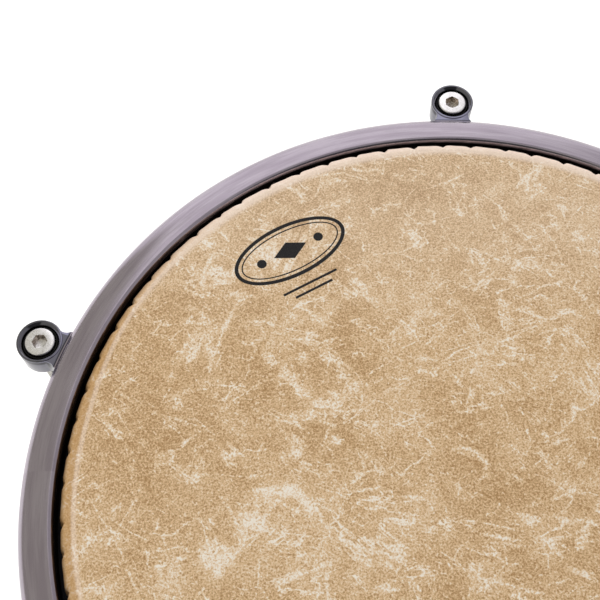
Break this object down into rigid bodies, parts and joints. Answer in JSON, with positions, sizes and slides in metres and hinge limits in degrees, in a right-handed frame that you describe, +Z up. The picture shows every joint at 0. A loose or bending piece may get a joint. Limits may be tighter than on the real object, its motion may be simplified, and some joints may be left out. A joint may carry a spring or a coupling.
{
  "type": "timpani drum",
  "caption": "small hand-tuned kettle drum: copper bowl, mottled film head, channel counterhoop with cup ears and socket-head tension screws, clamped tube legs",
  "frame": {"origin": "on the floor, on the drum's upright axis", "axes": "+Z up along the drum's axis; +Y towards the first tension screw; +X completes the right-handed frame"},
  "size_m": [0.3784, 0.3983, 0.56],
  "materials": {
    "kettle_copper": "satin, spun copper with a clear lacquer",
    "hoop_nickel": "satin dark nickel plate, lightly brushed",
    "bright_chrome": "bright plated steel",
    "bolt_steel": "zinc-plated steel",
    "flesh_aluminium": "matt black anodised",
    "ring_aluminium": "machined",
    "nut_brass": "turned",
    "head_film": "mottled calf-look polyester film",
    "black_nylon": "moulded",
    "black_rubber": "moulded"
  },
  "bodies": {
    "kettle": {"kettle_bowl": "kettle_copper", "bearing_ring": "ring_aluminium", "vent_grommet": "black_rubber", "drumhead_film": "head_film", "swivel_nut_1": "nut_brass", "lug_bracket_1": "hoop_nickel", "lug_bolt_1_upper": "bolt_steel", "lug_bolt_1_lower": "bolt_steel", "swivel_nut_2": "nut_brass", "lug_bracket_2": "hoop_nickel", "lug_bolt_2_upper": "bolt_steel", "lug_bolt_2_lower": "bolt_steel", "swivel_nut_3": "nut_brass", "lug_bracket_3": "hoop_nickel", "lug_bolt_3_upper": "bolt_steel", "lug_bolt_3_lower": "bolt_steel", "swivel_nut_4": "nut_brass", "lug_bracket_4": "hoop_nickel", "lug_bolt_4_upper": "bolt_steel", "lug_bolt_4_lower": "bolt_steel", "swivel_nut_5": "nut_brass", "lug_bracket_5": "hoop_nickel", "lug_bolt_5_upper": "bolt_steel", "lug_bolt_5_lower": "bolt_steel", "leg_bracket_1": "hoop_nickel", "leg_bolt_1_upper": "bolt_steel", "leg_bolt_1_lower": "bolt_steel", "leg_bracket_2": "hoop_nickel", "leg_bolt_2_upper": "bolt_steel", "leg_bolt_2_lower": "bolt_steel", "leg_bracket_3": "hoop_nickel", "leg_bolt_3_upper": "bolt_steel", "leg_bolt_3_lower": "bolt_steel"},
    "counterhoop": {"counterhoop": "hoop_nickel", "flesh_hoop": "flesh_aluminium", "nylon_cup_1": "black_nylon", "nylon_cup_2": "black_nylon", "nylon_cup_3": "black_nylon", "nylon_cup_4": "black_nylon", "nylon_cup_5": "black_nylon"},
    "screw_1": {"tension_screw_1": "bright_chrome"},
    "screw_2": {"tension_screw_2": "bright_chrome"},
    "screw_3": {"tension_screw_3": "bright_chrome"},
    "screw_4": {"tension_screw_4": "bright_chrome"},
    "screw_5": {"tension_screw_5": "bright_chrome"},
    "leg_1": {"leg_tube_1": "bright_chrome", "leg_cap_1": "black_nylon", "rubber_foot_1": "black_rubber"},
    "wing_1": {"wing_screw_1": "bright_chrome"},
    "leg_2": {"leg_tube_2": "bright_chrome", "leg_cap_2": "black_nylon", "rubber_foot_2": "black_rubber"},
    "wing_2": {"wing_screw_2": "bright_chrome"},
    "leg_3": {"leg_tube_3": "bright_chrome", "leg_cap_3": "black_nylon", "rubber_foot_3": "black_rubber"},
    "wing_3": {"wing_screw_3": "bright_chrome"}
  },
  "joints": [
    {"name": "hoop_travel", "type": "slide", "parent": "kettle", "child": "counterhoop", "axis": [0, 0, 1], "range_m": [-0.004, 0.0015]},
    {"name": "tension_screw_1_spin", "type": "hinge", "parent": "counterhoop", "child": "screw_1", "pos_m": [0, 0.1886, 0.5441], "axis": [0, 0, 1], "range_deg": [-1152, 432]},
    {"name": "tension_screw_2_spin", "type": "hinge", "parent": "counterhoop", "child": "screw_2", "pos_m": [-0.17937, 0.05828, 0.5441], "axis": [0, 0, 1], "range_deg": [-1152, 432]},
    {"name": "tension_screw_3_spin", "type": "hinge", "parent": "counterhoop", "child": "screw_3", "pos_m": [-0.11086, -0.15258, 0.5441], "axis": [0, 0, 1], "range_deg": [-1152, 432]},
    {"name": "tension_screw_4_spin", "type": "hinge", "parent": "counterhoop", "child": "screw_4", "pos_m": [0.11086, -0.15258, 0.5441], "axis": [0, 0, 1], "range_deg": [-1152, 432]},
    {"name": "tension_screw_5_spin", "type": "hinge", "parent": "counterhoop", "child": "screw_5", "pos_m": [0.17937, 0.05828, 0.5441], "axis": [0, 0, 1], "range_deg": [-1152, 432]},
    {"name": "leg_1_slide", "type": "slide", "parent": "kettle", "child": "leg_1", "axis": [0, 0, 1], "range_m": [-0.01, 0.1]},
    {"name": "wing_screw_1_turn", "type": "hinge", "parent": "kettle", "child": "wing_1", "pos_m": [0.019, -0.187, 0.4711], "axis": [1, 0, 0], "range_deg": [0, 360]},
    {"name": "leg_2_slide", "type": "slide", "parent": "kettle", "child": "leg_2", "axis": [0, 0, 1], "range_m": [-0.01, 0.1]},
    {"name": "wing_screw_2_turn", "type": "hinge", "parent": "kettle", "child": "wing_2", "pos_m": [0.15245, 0.10995, 0.4711], "axis": [-0.5, 0.866, 0], "range_deg": [0, 360]},
    {"name": "leg_3_slide", "type": "slide", "parent": "kettle", "child": "leg_3", "axis": [0, 0, 1], "range_m": [-0.01, 0.1]},
    {"name": "wing_screw_3_turn", "type": "hinge", "parent": "kettle", "child": "wing_3", "pos_m": [-0.15245, 0.10995, 0.4711], "axis": [0.5, 0.866, 0], "range_deg": [0, 360]}
  ],
  "couplings": [
    {"joint": "tension_screw_1_spin", "follows": "hoop_travel", "rad_per_m": 5026.5},
    {"joint": "tension_screw_2_spin", "follows": "hoop_travel", "rad_per_m": 5026.5},
    {"joint": "tension_screw_3_spin", "follows": "hoop_travel", "rad_per_m": 5026.5},
    {"joint": "tension_screw_4_spin", "follows": "hoop_travel", "rad_per_m": 5026.5},
    {"joint": "tension_screw_5_spin", "follows": "hoop_travel", "rad_per_m": 5026.5}
  ]
}
